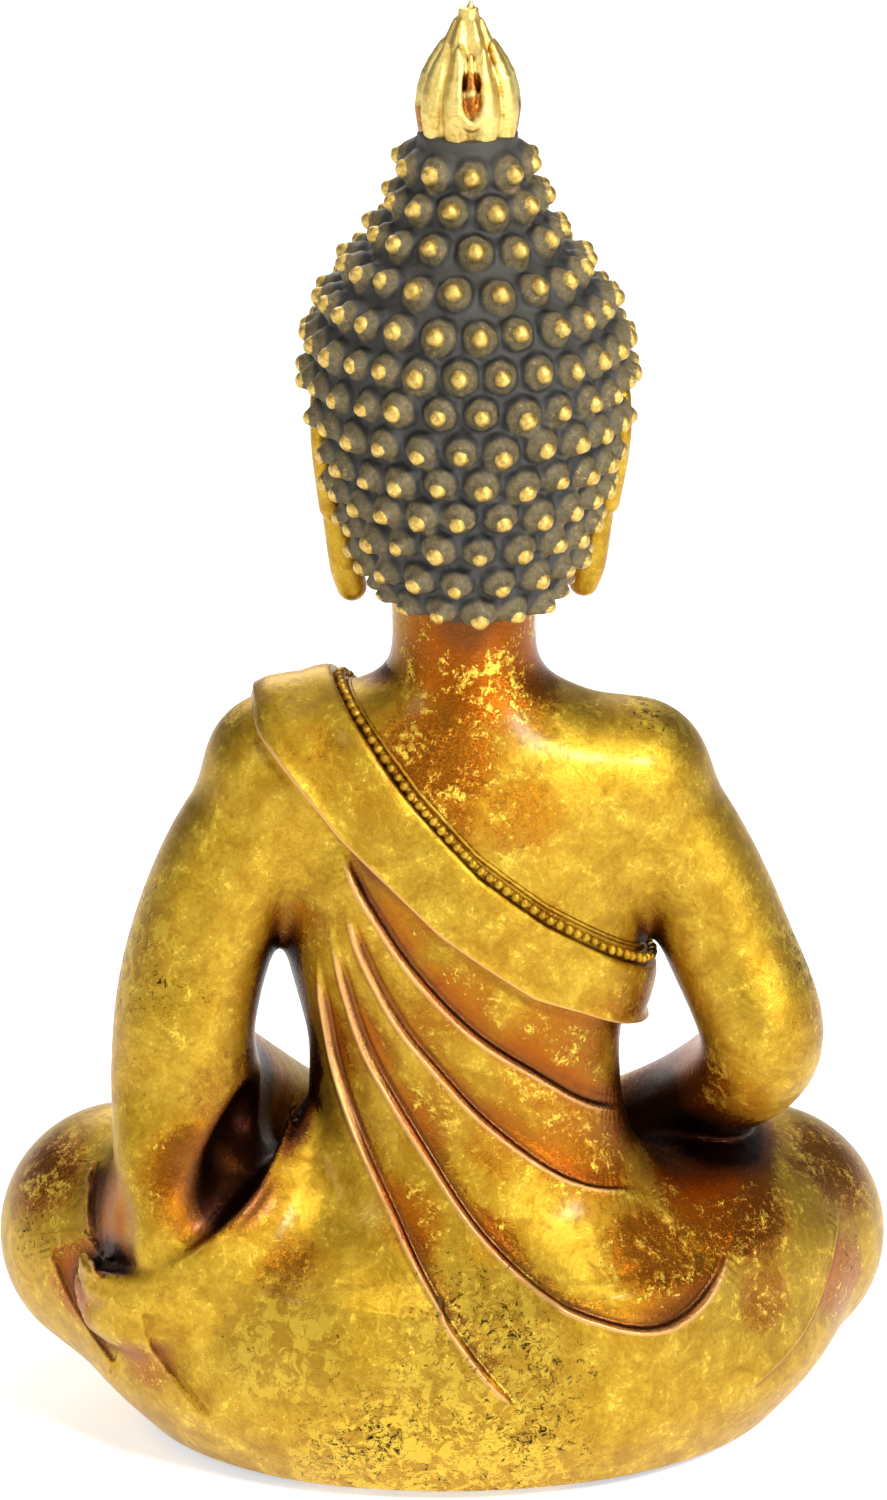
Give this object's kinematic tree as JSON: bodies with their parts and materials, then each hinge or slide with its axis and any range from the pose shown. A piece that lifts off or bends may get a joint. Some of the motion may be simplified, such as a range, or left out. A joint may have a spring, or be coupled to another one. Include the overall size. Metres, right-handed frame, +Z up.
{
  "type": "buddha statue",
  "caption": "Seated meditating Buddha figure with a robe over one shoulder, crossed legs, rows of pointed curls and a flame on top, on a flat felt-covered foot.",
  "frame": {"origin": "centre of the felt pad's underside, on the surface that the statue stands on", "axes": "+Z up, the figure faces -Y, and its own left is +X"},
  "size_m": [0.1202, 0.0759, 0.197],
  "materials": {
    "gilding": "broken gold leaf over resin, glossy amber glaze in the folds",
    "hair_lacquer": "dark brown-grey lacquer with rubbed gold tips",
    "raw_resin": "unpainted cast resin",
    "felt": "black felt",
    "pin_steel": "plain drawn wire"
  },
  "bodies": {
    "root": {"torso": "gilding", "left_arm": "gilding", "right_arm": "gilding", "left_hand": "gilding", "right_hand": "gilding", "lap": "gilding", "sleeve_drape": "gilding", "head": "gilding", "shoulder_sash": "gilding", "bead_trim": "gilding", "flame_finial": "gilding", "hair_cap": "hair_lacquer", "base_plate": "raw_resin", "felt_pad": "felt", "finial_pin": "pin_steel", "neck_pin": "pin_steel", "left_shoulder_pin": "pin_steel", "right_shoulder_pin": "pin_steel"}
  },
  "joints": []
}
